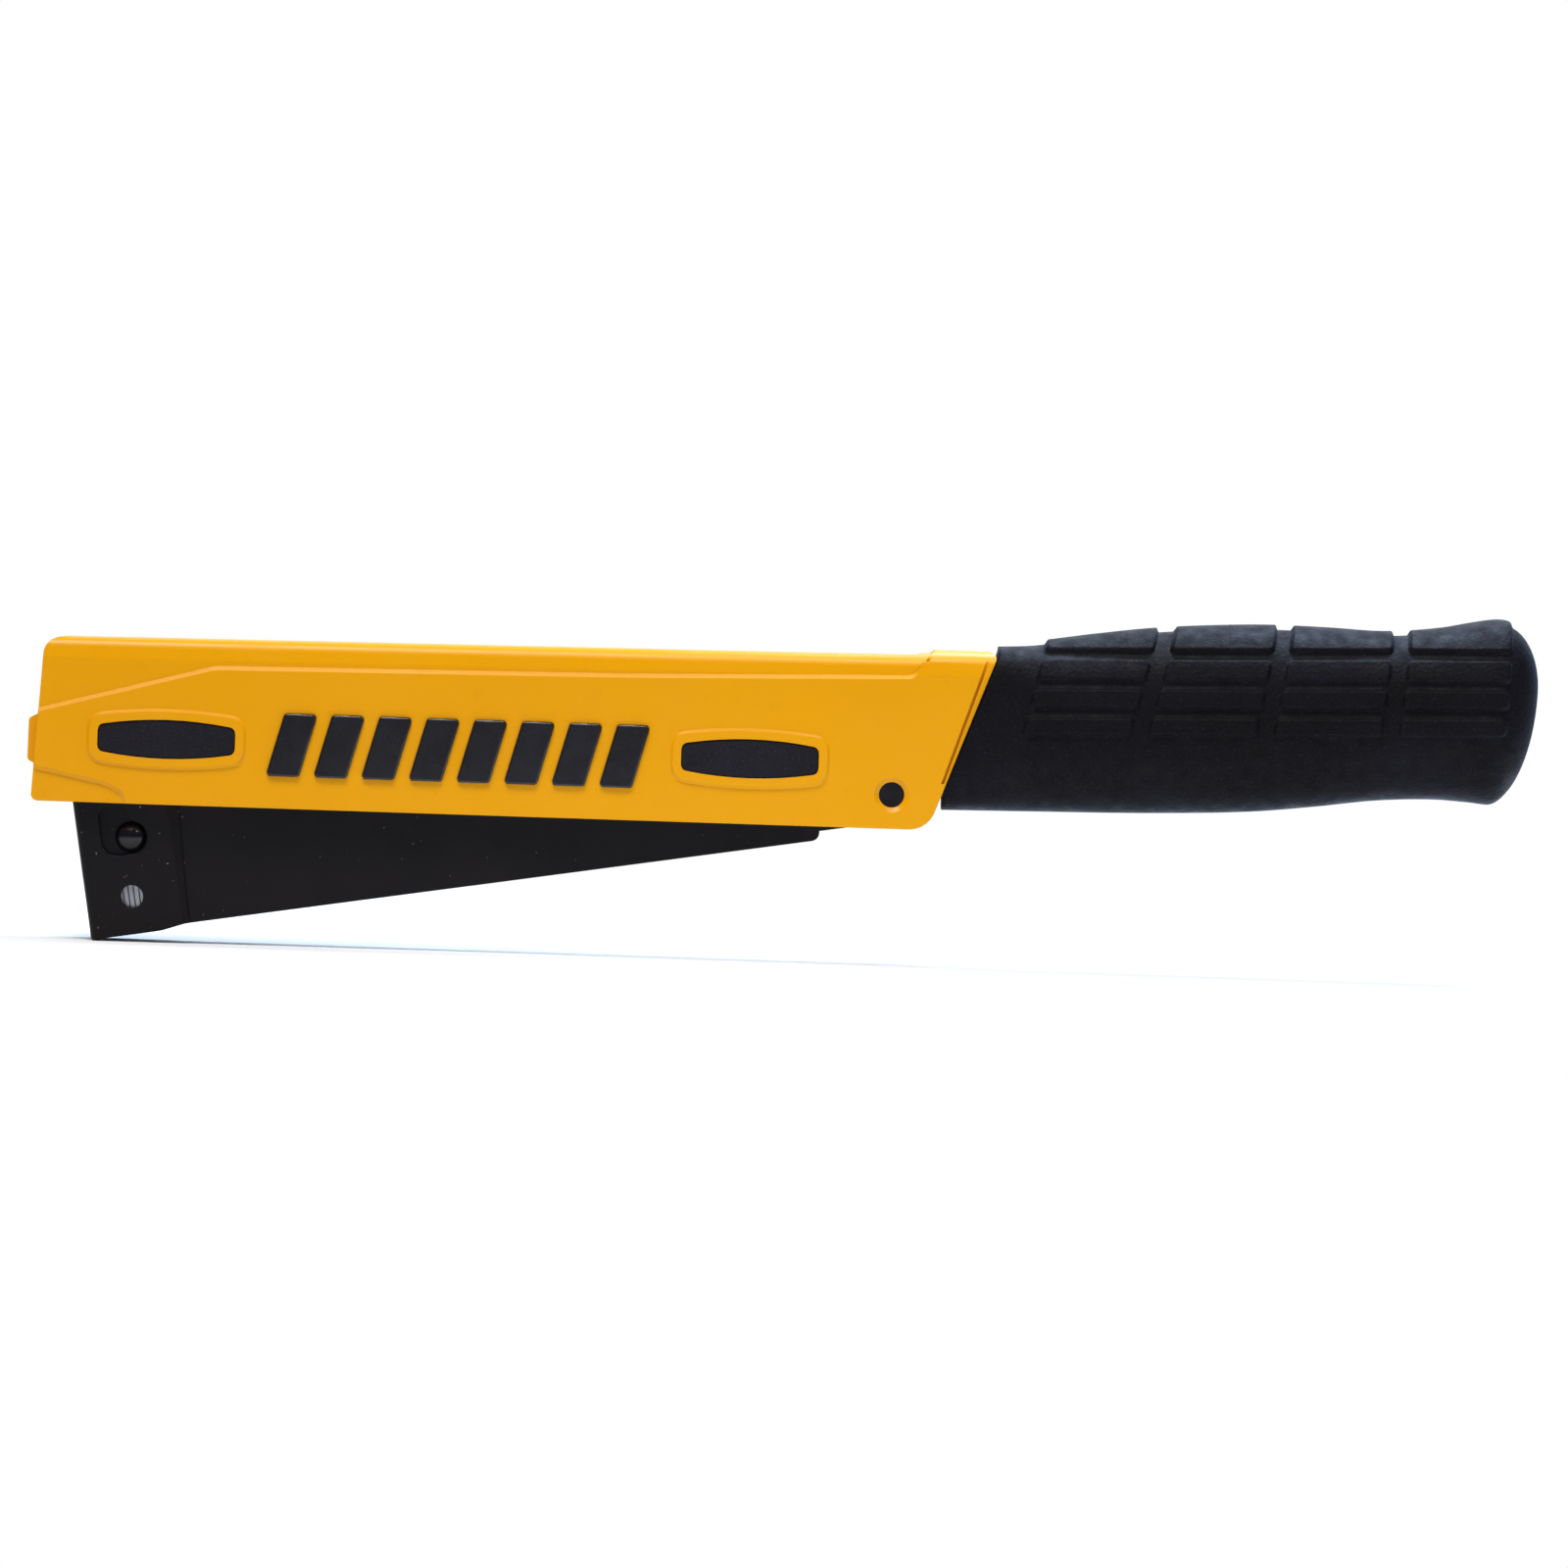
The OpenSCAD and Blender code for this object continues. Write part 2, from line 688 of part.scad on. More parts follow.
module frame_outline() {
    polygon(rounded([
        [-slot_front, -mag_drop, 0],
        [-18, -mag_drop, 2],
        [-18, core_bottom, 0],
        [-3, core_bottom, 0],
        [6.6, core_bottom, 5],
        [8, web_top(web_rear), 2],
        [web_rear, web_top(web_rear), 0],
        [web_front, mag_rise_front, 0],
        [-slot_front, mag_rise_front, 0],
    ]));
}

sight = [-180.8, -0.5];
sight_r = 2.7;
rivet = [-179.2, 13.45];

module magazine_frame() {
    color("black") place() in_magazine() difference() {
        xz_plate(mag_w) frame_outline();
        // The track, open below, under the sloping web
        xz_plate(track_w) polygon([
            [-slot_front - 1, -20], [20, -20], [20, web_top(20) - mag_sheet],
            [web_front - 0.5, web_top(web_front - 0.5) - mag_sheet], [web_front - 0.5, 40], [-slot_front - 1, 40],
        ]);
        cross_pin(0, 0, 4.25, 60);
        cross_pin(sight[0], sight[1], sight_r, 60);
        cross_pin(rivet[0], rivet[1], 1.85, 60);
    }
}

// Upward-open channel whose web keeps the crowns on the rail
module crown_guide() {
    low = staple_top + 0.4;
    sheet = 1.2;
    color("dimgray") place() in_magazine() difference() {
        box([-rail_front + 0.1, -track_w / 2, low], [-28, track_w / 2, low + 3.4]);
        box([-rail_front - 1, -track_w / 2 + sheet, low + sheet], [0, track_w / 2 - sheet, low + 20]);
    }
}

module nose_outline() {
    rear = -nose_front + nose_len;
    polygon(rounded([
        [-nose_front, nose_bottom, 0.5],
        [rear - 7, nose_bottom, 12],
        [rear - 1.2, -mag_drop, 0],
        [rear - 0.3, -mag_drop, 0],
        [rear + 0.9, 20, 3],
        [rear - 4, 30, 3],
        [-nose_front, 30, 1.5],
    ]));
}

// The nose guard from above: rounded front corners, and cheeks that thin out at their rear edge
module nose_plan() {
    rear = -nose_front + nose_len + 1;
    side = nose_w / 2;
    polygon(rounded([
        [-nose_front, -side, 1.5], [rear - 2.6, -side, 1], [rear, -side + nose_sheet - 0.4, 0],
        [rear, side - nose_sheet + 0.4, 0], [rear - 2.6, side, 1], [-nose_front, side, 1.5],
    ]));
}

module nose_guard() {
    color("black") place() in_magazine() difference() {
        intersection() {
            xz_plate(nose_w) nose_outline();
            translate([0, 0, -20]) linear_extrude(60) nose_plan();
        }
        // The room for the frame, behind the front plate
        box([-slot_front, -mag_w / 2, -30], [0, mag_w / 2, 60]);
        cross_pin(sight[0], sight[1], sight_r, 60);
        // Window round the rivet's head, reaching forward and up
        xz_plate(60) window_outline();
    }
}

module window_outline() {
    polygon(rounded([
        [rivet[0] + 4.1, rivet[1] - 4.1, 4],
        [rivet[0] + 4.1, rivet[1] + 4.1, 4],
        [rivet[0] + 0.5, rivet[1] + 4.3, 0.5],
        [rivet[0] - 0.4, rivet[1] + 8, 2],
        [rivet[0] - 7, rivet[1] + 8, 2.5],
        [rivet[0] - 7, rivet[1] - 3.2, 3.5],
        [rivet[0] - 3, rivet[1] - 4.1, 1],
    ], 4));
}

module nose_rivet() {
    dome_r = 3.7;
    dome_h = 2.4;
    ball = (dome_r * dome_r + dome_h * dome_h) / (2 * dome_h);
    color("black") place() in_magazine() union() {
        cross_pin(rivet[0], rivet[1], 1.8, mag_w + 1);
        for (side = [-1, 1]) on_side(side) translate([rivet[0], mag_w / 2, rivet[1]]) rotate([-90, 0, 0])
            intersection() {
                translate([0, 0, dome_h - ball]) sphere(r = ball);
                cylinder(r = dome_r + 1, h = dome_h + 1);
            }
    }
}

// Seat with a stud, level when the tool is at rest, on the magazine's sloping web
module spring_cup() {
    color("silver") place() difference() {
        union() {
            translate([spring_x, 0, spring_low - 6]) cylinder(r = 6.8, h = 6);
            translate([spring_x, 0, spring_low - 1]) cylinder(r = 3.6, h = 4.2);
        }
        in_magazine() xz_plate(40) polygon([
            [-190, -30], [0, -30], [0, web_top(0)], [-190, web_top(-190)],
        ]);
    }
}

// ---------- rail ----------

module rail_outline() {
    polygon(rounded([
        [-rail_front, core_bottom, 0],
        [-3, core_bottom, 0],
        [5.6, core_bottom + 0.6, 4],
        [5.6, 5.2, 4],
        [-6, 5.2, 3],
        [-20, core_top, 3],
        [-rail_front, core_top, 0],
    ]));
}

module core_rail() {
    color("silver") place() in_magazine() {
        difference() {
            xz_plate(core_w) rail_outline();
            box([-300, -core_w / 2 + core_sheet, core_bottom + core_sheet], [40, core_w / 2 - core_sheet, 40]);
            box([-10, -core_w / 2 + core_sheet, -30], [40, core_w / 2 - core_sheet, 40]);
            cross_pin(0, 0, pin_r + running, 60);
            cross_pin(clip_x, -1.5, 1.5, 60);
        }
        // Pull tab bent down from the rail's floor
        difference() {
            xz_plate(core_w - 2 * core_sheet) polygon([
                [-34, core_bottom + 0.5], [-31, core_bottom + 0.5], [-28, -8.1], [-22, -8.1], [-22, -7.2],
                [-28.6, -7.2], [-30.6, core_bottom + 1], [-34, core_bottom + 1],
            ]);
            box([-36, -5, core_bottom], [-20, 5, core_bottom + 3]);
        }
    }
}

module rail_nose_block() {
    color("gray") place() in_magazine() difference() {
        box([-rail_front, -core_w / 2 + core_sheet, core_bottom + core_sheet],
            [-rail_front + 5, core_w / 2 - core_sheet, core_top - 0.1]);
        translate([-rail_front + 2, 0, rod_z]) rotate([0, 90, 0]) cylinder(r = rod_r, h = 10);
    }
}

module rod_anchor() {
    color("gray") place() in_magazine() difference() {
        box([anchor_x, -core_w / 2 + core_sheet, core_bottom + core_sheet],
            [anchor_x + anchor_len, core_w / 2 - core_sheet, core_top - 0.1]);
        translate([anchor_x - 5, 0, rod_z]) rotate([0, 90, 0]) cylinder(r = rod_r, h = 20);
    }
}

module pusher_rod() {
    color("silver") place() in_magazine() translate([-rail_front + 2, 0, rod_z]) rotate([0, 90, 0])
        cylinder(r = rod_r, h = rail_front - 2 + anchor_x + anchor_len);
}

module pusher_spring() {
    length = anchor_x - pusher_front - pusher_len - 0.1;
    color("silver") place() in_magazine() translate([pusher_front + pusher_len + 0.05, 0, rod_z])
        rotate([0, 90, 0]) helix_wire(2, 0.3, length, 26, 10, 5);
}

// Spring clip whose two buttons rub on the track's walls and hold the rail up
module rail_clip() {
    inner = core_w / 2 - core_sheet;
    color("lightsteelblue") place() in_magazine() {
        difference() {
            box([clip_x - 3, -inner, core_bottom + core_sheet], [clip_x + 3, inner, 1]);
            box([clip_x - 4, -inner + 0.5, core_bottom + core_sheet + 0.5], [clip_x + 4, inner - 0.5, 5]);
        }
        for (side = [-1, 1]) on_side(side) translate([clip_x, inner - 0.3, -1.5]) rotate([-90, 0, 0])
            cylinder(r = 1.2, h = track_w / 2 + 0.25 - inner);
    }
}

module staple_strip() {
    leg_t = 1.2;
    color("lightgray") place() in_magazine() for (i = [0:staples - 1])
        translate([strip_front + i * wire_pitch, 0, 0]) difference() {
            box([0, -crown_w / 2, staple_top - leg_len], [wire_pitch, crown_w / 2, staple_top]);
            box([-1, -crown_w / 2 + leg_t, staple_top - leg_len - 1], [wire_pitch + 1, crown_w / 2 - leg_t, staple_top - crown_t]);
        }
}

module pusher() {
    inner = core_w / 2 + 0.15;
    outer = crown_w / 2;
    tongue = core_w / 2 - core_sheet - 0.15;
    color("gray") place() in_magazine() difference() {
        union() {
            difference() {
                box([pusher_front, -outer, core_bottom + 0.4], [pusher_front + pusher_len, outer, staple_top]);
                box([pusher_front - 1, -inner, -20], [pusher_front + pusher_len + 1, inner, core_top + 0.1]);
            }
            box([pusher_front + 1, -tongue, core_bottom + core_sheet + 0.2],
                [pusher_front + pusher_len, tongue, core_top + 0.2]);
        }
        translate([pusher_front - 1, 0, rod_z]) rotate([0, 90, 0]) cylinder(r = rod_r + 0.1, h = 20);
    }
}

head_housing();
handle_core();
butt_plug();
grip_sleeve();
handle_screws();
side_pad(pads_x[0], -1);  // pad_front_left
side_pad(pads_x[1], -1);  // pad_rear_left
side_pad(pads_x[0], 1);  // pad_front_right
side_pad(pads_x[1], 1);  // pad_rear_right
badge(-1);  // badge_left
badge(1);  // badge_right
pivot_pin();
driver_holder();
driver_blade();
blade_rivets();
holder_screws();
strike_bumper();
return_spring();
magazine_frame();
crown_guide();
nose_guard();
nose_rivet();
spring_cup();
pivot_bush(-1);  // pivot_bush_left
pivot_bush(1);  // pivot_bush_right
core_rail();
rail_nose_block();
rod_anchor();
pusher_rod();
pusher_spring();
rail_clip();
staple_strip();
pusher();
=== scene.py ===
import json
import math

import bpy
from mathutils import Matrix, Vector


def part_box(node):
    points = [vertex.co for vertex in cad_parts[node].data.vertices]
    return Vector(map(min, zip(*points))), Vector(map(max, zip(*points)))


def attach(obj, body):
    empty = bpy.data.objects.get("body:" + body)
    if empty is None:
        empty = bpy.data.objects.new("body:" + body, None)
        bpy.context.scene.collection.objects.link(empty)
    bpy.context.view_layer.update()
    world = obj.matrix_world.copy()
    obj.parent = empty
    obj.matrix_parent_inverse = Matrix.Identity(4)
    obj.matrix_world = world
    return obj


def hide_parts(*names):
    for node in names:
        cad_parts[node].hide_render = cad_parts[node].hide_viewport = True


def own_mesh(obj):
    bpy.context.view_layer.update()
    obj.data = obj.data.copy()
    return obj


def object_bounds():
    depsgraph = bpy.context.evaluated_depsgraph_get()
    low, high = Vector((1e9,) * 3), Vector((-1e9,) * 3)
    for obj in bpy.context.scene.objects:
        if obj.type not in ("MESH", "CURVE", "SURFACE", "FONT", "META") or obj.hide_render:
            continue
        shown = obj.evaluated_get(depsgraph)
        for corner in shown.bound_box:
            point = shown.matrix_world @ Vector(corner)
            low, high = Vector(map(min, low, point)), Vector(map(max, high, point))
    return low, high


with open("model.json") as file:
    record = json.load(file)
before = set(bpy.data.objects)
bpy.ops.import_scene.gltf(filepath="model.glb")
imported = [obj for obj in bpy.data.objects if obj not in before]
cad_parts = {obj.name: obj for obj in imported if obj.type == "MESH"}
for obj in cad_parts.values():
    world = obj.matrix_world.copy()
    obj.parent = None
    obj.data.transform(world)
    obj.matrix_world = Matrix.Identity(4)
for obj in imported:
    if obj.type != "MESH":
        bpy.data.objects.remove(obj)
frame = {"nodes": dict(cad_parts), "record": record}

cad_low, cad_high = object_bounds()

MM = 0.001
nodes = frame["nodes"]
pin_low, pin_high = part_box("pivot_pin")
PIVOT = (pin_low + pin_high) / 2
nose = next(m for m in frame["record"]["mounts"] if m["name"] == "nose_face")
TILT = math.asin(nose["axis"][0])
# The magazine's own frame: its bottom edge is level, and the pivot pin is its origin
MAGAZINE = Matrix.Translation(PIVOT) @ Matrix.Rotation(-TILT, 4, "Y")


def at(x, y, z):
    """A point given in millimetres from the pivot pin."""
    return PIVOT + Vector((x, y, z)) * MM


def in_magazine(x, y, z):
    """A point given in millimetres in the magazine's own frame."""
    return MAGAZINE @ (Vector((x, y, z)) * MM)


# ---------- camera, floor and light ----------

def aim(obj, target, roll=0.0):
    """Turns a camera or light to face the target."""
    look = (target - obj.location).to_track_quat("-Z", "Y").to_matrix().to_4x4()
    obj.matrix_world = Matrix.Translation(obj.location) @ look @ Matrix.Rotation(roll, 4, "Z")


def make_camera():
    view_width = 0.371
    distance = 2.4
    rise = math.radians(1.5)
    roll = math.radians(1.9)
    target = at(-25.4, 0, 1.4)
    camera = bpy.data.objects.new("camera", bpy.data.cameras.new("camera"))
    bpy.context.scene.collection.objects.link(camera)
    camera.location = target + distance * Vector((0, -math.cos(rise), math.sin(rise)))
    camera.data.lens = camera.data.sensor_width * distance / view_width
    camera.data.clip_start = 0.05
    camera.data.clip_end = 100
    aim(camera, target, roll)
    bpy.context.scene.camera = camera


def softbox(name, offset, target, size, watts, tint=(1, 1, 1)):
    """A rectangular light, `offset` metres from its target and facing it."""
    light = bpy.data.lights.new(name, "AREA")
    light.shape = "RECTANGLE"
    light.size, light.size_y = size
    light.energy = watts
    light.color = tint
    obj = bpy.data.objects.new(name, light)
    bpy.context.scene.collection.objects.link(obj)
    obj.location = target + Vector(offset)
    obj.visible_camera = False
    aim(obj, target)


def make_lights():
    middle = (cad_low + cad_high) / 2
    grip_top = at(85, 0, 41)
    softbox("key", (-0.4, -0.85, 1.75), middle, (0.9, 0.5), 31)
    softbox("overhead", (0.35, -0.15, 1.3), middle, (0.9, 0.35), 5, (0.82, 0.9, 1))
    softbox("behind", (0.3, 1.4, 0.9), middle, (2.0, 1.0), 16, (0.78, 0.88, 1))
    softbox("strip", (0.03, 0.1, 0.34), grip_top, (0.25, 0.08), 3.0, (0.58, 0.74, 1))
    softbox("sparkle", (0.7, -0.75, 0.8), middle, (0.07, 0.07), 1.6, (0.7, 0.82, 1))


def make_world():
    """White to the eye, and a dimmer even light on the object."""
    ambient = 0.1
    world = bpy.data.worlds.new("studio")
    bpy.context.scene.world = world
    world.use_nodes = True
    tree = world.node_tree
    background = tree.nodes["Background"]
    background.inputs["Color"].default_value = (1, 1, 1, 1)
    background.inputs["Strength"].default_value = ambient
    seen = tree.nodes.new("ShaderNodeBackground")
    seen.inputs["Color"].default_value = (1, 1, 1, 1)
    seen.inputs["Strength"].default_value = 1.0
    path = tree.nodes.new("ShaderNodeLightPath")
    mix = tree.nodes.new("ShaderNodeMixShader")
    tree.links.new(path.outputs["Is Camera Ray"], mix.inputs[0])
    tree.links.new(background.outputs[0], mix.inputs[1])
    tree.links.new(seen.outputs[0], mix.inputs[2])
    tree.links.new(mix.outputs[0], tree.nodes["World Output"].inputs["Surface"])


def make_floor():
    radius = 0.42
    sides = 96
    gap = 0.0002
    level = cad_low.z - gap
    middle = (cad_low + cad_high) / 2
    verts = [(middle.x + radius * math.cos(2 * math.pi * k / sides),
              middle.y + radius * math.sin(2 * math.pi * k / sides), level) for k in range(sides)]
    mesh = bpy.data.meshes.new("floor")
    mesh.from_pydata(verts, [], [list(range(sides))])
    floor = bpy.data.objects.new("floor", mesh)
    bpy.context.scene.collection.objects.link(floor)
    surface = Surface("floor_white", (0.9, 0.9, 0.9), 0.9)
    surface.vary((0.88, 0.88, 0.88), surface.noise(3, 2))
    surface.set(Specular_IOR_Level=0.0)
    mesh.materials.append(surface.material)


# ---------- materials ----------

class Surface:
    """A procedural material that is built up from noise in the object's own space."""

    def __init__(self, name, color, roughness, metallic=0.0):
        self.material = bpy.data.materials.new(name)
        self.material.use_nodes = True
        self.tree = self.material.node_tree
        self.shader = self.tree.nodes["Principled BSDF"]
        self.shader.inputs["Metallic"].default_value = metallic
        self.shader.inputs["Roughness"].default_value = roughness
        self.space = self.tree.nodes.new("ShaderNodeTexCoord").outputs["Object"]
        self.color = self.tree.nodes.new("ShaderNodeRGB").outputs[0]
        self.color.default_value = (*color, 1)
        self.link(self.color, self.shader.inputs["Base Color"])
        self.normal = None

    def soft_edges(self, radius_mm):
        """Rounds the shading of every edge of the mesh."""
        bevel = self.tree.nodes.new("ShaderNodeBevel")
        bevel.samples = 6
        bevel.inputs["Radius"].default_value = radius_mm * MM
        self.normal = bevel.outputs["Normal"]
        return self

    def link(self, source, target):
        self.tree.links.new(source, target)

    def set(self, **values):
        for name, value in values.items():
            self.shader.inputs[name.replace("_", " ")].default_value = value
        return self

    def noise(self, scale, detail, stretch=(1, 1, 1)):
        """Noise with about `scale` features a metre, squeezed by `stretch` along each axis."""
        mapping = self.tree.nodes.new("ShaderNodeMapping")
        mapping.inputs["Scale"].default_value = stretch
        self.link(self.space, mapping.inputs["Vector"])
        noise = self.tree.nodes.new("ShaderNodeTexNoise")
        noise.inputs["Scale"].default_value = scale
        noise.inputs["Detail"].default_value = detail
        self.link(mapping.outputs[0], noise.inputs["Vector"])
        return noise.outputs["Fac"]

    def cells(self, scale):
        """Rounded grains, about `scale` of them a metre."""
        cells = self.tree.nodes.new("ShaderNodeTexVoronoi")
        cells.inputs["Scale"].default_value = scale
        self.link(self.space, cells.inputs["Vector"])
        return cells.outputs["Distance"]

    def ramp(self, source, low, high, out_low, out_high):
        """Carries the range low to high over to out_low to out_high."""
        ramp = self.tree.nodes.new("ShaderNodeMapRange")
        for socket, value in zip(ramp.inputs[1:5], (low, high, out_low, out_high)):
            socket.default_value = value
        self.link(source, ramp.inputs[0])
        return ramp.outputs[0]

    def vary(self, color, factor, low=0.35, high=0.65, amount=1.0):
        """Blends another colour in where the factor is high."""
        mix = self.tree.nodes.new("ShaderNodeMix")
        mix.data_type = "RGBA"
        self.link(self.ramp(factor, low, high, 0.0, amount), mix.inputs["Factor"])
        self.link(self.color, mix.inputs["A"])
        mix.inputs["B"].default_value = (*color, 1)
        self.color = mix.outputs["Result"]
        self.link(self.color, self.shader.inputs["Base Color"])
        return self

    def gloss(self, factor, rough_low, rough_high):
        """Roughness that wanders between two values."""
        self.link(self.ramp(factor, 0.3, 0.7, rough_low, rough_high), self.shader.inputs["Roughness"])
        return self

    def bump(self, factor, height_mm, strength):
        bump = self.tree.nodes.new("ShaderNodeBump")
        bump.inputs["Distance"].default_value = height_mm * MM
        bump.inputs["Strength"].default_value = strength
        self.link(factor, bump.inputs["Height"])
        if self.normal:
            self.link(self.normal, bump.inputs["Normal"])
        self.normal = bump.outputs["Normal"]
        self.link(self.normal, self.shader.inputs["Normal"])
        return self


def head_paint():
    surface = Surface("head_paint", (0.78, 0.318, 0.0), 0.34).soft_edges(0.22)
    surface.vary((0.8, 0.345, 0.0), surface.noise(14, 2), amount=0.7)
    surface.vary((0.72, 0.27, 0.0), surface.noise(220, 4), 0.62, 0.8, 0.35)
    surface.gloss(surface.noise(60, 4), 0.28, 0.38)
    surface.bump(surface.noise(900, 2), 0.012, 0.6)
    surface.bump(surface.noise(160, 3), 0.03, 0.5)
    return surface.set(Specular_IOR_Level=0.2)


def moulded_rubber(name, color, light, grain, depth):
    surface = Surface(name, color, 0.62)
    surface.vary(light, surface.noise(40, 4), 0.4, 0.75, 0.6)
    surface.vary(tuple(3 * c for c in light), surface.noise(grain * 2, 2), 0.58, 0.78, 0.7)
    surface.gloss(surface.noise(300, 3), 0.52, 0.72)
    surface.bump(surface.cells(grain), depth, 0.8)
    surface.bump(surface.noise(grain * 0.6, 3), depth * 0.8, 0.6)
    return surface


def grip_rubber():
    surface = moulded_rubber("grip_rubber", (0.0026, 0.0016, 0.002), (0.006, 0.005, 0.008), 1100, 0.1)
    surface.set(Sheen_Weight=0.08, Sheen_Roughness=0.3, Sheen_Tint=(0.4, 0.58, 1, 1))
    return surface.set(Specular_IOR_Level=0.1)


def pad_rubber():
    surface = moulded_rubber("pad_rubber", (0.0055, 0.0038, 0.0062), (0.014, 0.0115, 0.018), 1000, 0.1)
    return surface.set(Specular_IOR_Level=0.2)


def badge_plastic():
    surface = Surface("badge_plastic", (0.0055, 0.004, 0.006), 0.26)
    surface.vary((0.0085, 0.007, 0.011), surface.noise(30, 3))
    surface.gloss(surface.noise(200, 3), 0.24, 0.3)
    return surface.bump(surface.noise(500, 2), 0.01, 0.4)


def black_lacquer(name="magazine_lacquer", base=(0.0042, 0.0028, 0.0032)):
    surface = Surface(name, base, 0.42).soft_edges(0.35)
    surface.vary((0.008, 0.0055, 0.006), surface.noise(35, 4), amount=0.8)
    surface.set(Specular_IOR_Level=0.16)
    surface.vary((0.2, 0.18, 0.18), surface.noise(1100, 1), 0.76, 0.8, 0.8)
    surface.gloss(surface.noise(120, 5), 0.36, 0.5)
    surface.bump(surface.noise(1300, 2), 0.012, 0.6)
    return surface.bump(surface.noise(90, 3), 0.05, 0.4)


def blackened_steel():
    surface = Surface("blackened_steel", (0.004, 0.003, 0.004), 0.22).soft_edges(0.3)
    surface.vary((0.01, 0.009, 0.013), surface.noise(60, 4))
    surface.gloss(surface.noise(240, 4), 0.18, 0.28)
    surface.bump(surface.noise(600, 3), 0.01, 0.5)
    return surface.set(Specular_IOR_Level=0.35)


def steel(name, color, rough_low, rough_high, stretch=(1, 1, 1)):
    surface = Surface(name, color, rough_low, 1.0).soft_edges(0.15)
    surface.vary(tuple(c * 0.75 for c in color), surface.noise(70, 4), 0.45, 0.8, 0.7)
    surface.gloss(surface.noise(260, 4, stretch), rough_low, rough_high)
    return surface.bump(surface.noise(700, 3, stretch), 0.012, 0.6)


def bumper_rubber():
    return moulded_rubber("plain_rubber", (0.012, 0.011, 0.011), (0.02, 0.018, 0.018), 800, 0.04)


def plug_plastic():
    return moulded_rubber("plug_plastic", (0.014, 0.014, 0.014), (0.022, 0.022, 0.022), 900, 0.03)


def make_materials():
    brushed = (0.15, 1, 1)
    made = {
        "head_paint": head_paint(),
        "grip_rubber": grip_rubber(),
        "pad_rubber": pad_rubber(),
        "badge_plastic": badge_plastic(),
        "magazine_black": black_lacquer(),
        "pin_dark": blackened_steel(),
        "steel_bright": steel("zinc_steel", (0.56, 0.57, 0.6), 0.25, 0.42, brushed),
        "steel_dark": steel("tool_steel", (0.2, 0.2, 0.22), 0.3, 0.48, brushed),
        "staple_wire": steel("staple_wire", (0.66, 0.66, 0.68), 0.22, 0.38, (1, 1, 0.2)),
        "spring_wire": steel("spring_wire", (0.38, 0.38, 0.4), 0.26, 0.42),
        "bush_brass": steel("bush_bronze", (0.5, 0.3, 0.1), 0.35, 0.5),
        "bumper_rubber": bumper_rubber(),
        "core_black": black_lacquer("core_lacquer", (0.02, 0.02, 0.022)),
        "plug_plastic": plug_plastic(),
    }
    return {slot: surface.material for slot, surface in made.items()}


# ---------- CAD nodes ----------

SHARP_ANGLE = math.radians(30)
FLAT_ANGLE = math.radians(1)
WELD_DISTANCE = 0.002 * MM


def sharp_edges_group():
    """Geometry nodes that keep an edge sharp where its faces meet at more than SHARP_ANGLE."""
    group = bpy.data.node_groups.new("sharp_edges", "GeometryNodeTree")
    group.interface.new_socket("Geometry", in_out="INPUT", socket_type="NodeSocketGeometry")
    group.interface.new_socket("Geometry", in_out="OUTPUT", socket_type="NodeSocketGeometry")
    source = group.nodes.new("NodeGroupInput")
    result = group.nodes.new("NodeGroupOutput")
    fold = group.nodes.new("GeometryNodeInputMeshEdgeAngle")
    above = group.nodes.new("FunctionNodeCompare")
    above.operation = "GREATER_THAN"
    above.inputs[1].default_value = SHARP_ANGLE
    shade = group.nodes.new("GeometryNodeSetShadeSmooth")
    shade.domain = "EDGE"
    shade.inputs["Shade Smooth"].default_value = False
    group.links.new(source.outputs[0], shade.inputs["Geometry"])
    group.links.new(fold.outputs["Unsigned Angle"], above.inputs[0])
    group.links.new(above.outputs[0], shade.inputs["Selection"])
    group.links.new(shade.outputs[0], result.inputs[0])
    return group


def dress(name, material, sharp, edge):
    """Gives a CAD node its material, and where `edge` isn't 0 rounds its edges by that many millimetres."""
    obj = nodes[name]
    obj.data.materials.clear()
    obj.data.materials.append(material)
    if "custom_normal" in obj.data.attributes:
        obj.data.attributes.remove(obj.data.attributes["custom_normal"])
    for polygon in obj.data.polygons:
        polygon.use_smooth = True
    weld = obj.modifiers.new("weld", "WELD")
    weld.merge_threshold = WELD_DISTANCE
    if edge:
        flat = obj.modifiers.new("flat", "DECIMATE")
        flat.decimate_type = "DISSOLVE"
        flat.angle_limit = FLAT_ANGLE
        bevel = obj.modifiers.new("soft_edges", "BEVEL")
        bevel.width = edge * MM
        bevel.segments = 3
        bevel.limit_method = "ANGLE"
        bevel.angle_limit = SHARP_ANGLE
        bevel.use_clamp_overlap = False
        bevel.harden_normals = True
        bevel.miter_outer = "MITER_ARC"
    else:
        obj.modifiers.new("sharp_edges", "NODES").node_group = sharp
        weighted = obj.modifiers.new("even_normals", "WEIGHTED_NORMAL")
        weighted.keep_sharp = True


# Edge radius in millimetres where an edge is rounded in the mesh. Where it isn't, painted and metal
# surfaces are shaded as rounded by their materials.
EDGES = {
    "core_rail": 0.15, "badge_left": 0.45, "badge_right": 0.45,
    "pad_front_left": 0.35, "pad_front_right": 0.35, "pad_rear_left": 0.35, "pad_rear_right": 0.35,
    "crown_guide": 0.15, "driver_blade": 0.1, "strike_bumper": 0.5, "pusher": 0.2,
}


def dress_all(materials):
    sharp = sharp_edges_group()
    for part in frame["record"]["subparts"]:
        name = part["node"]
        dress(name, materials[part["material_slot"]], sharp, EDGES.get(name, 0))


# ---------- new pieces ----------

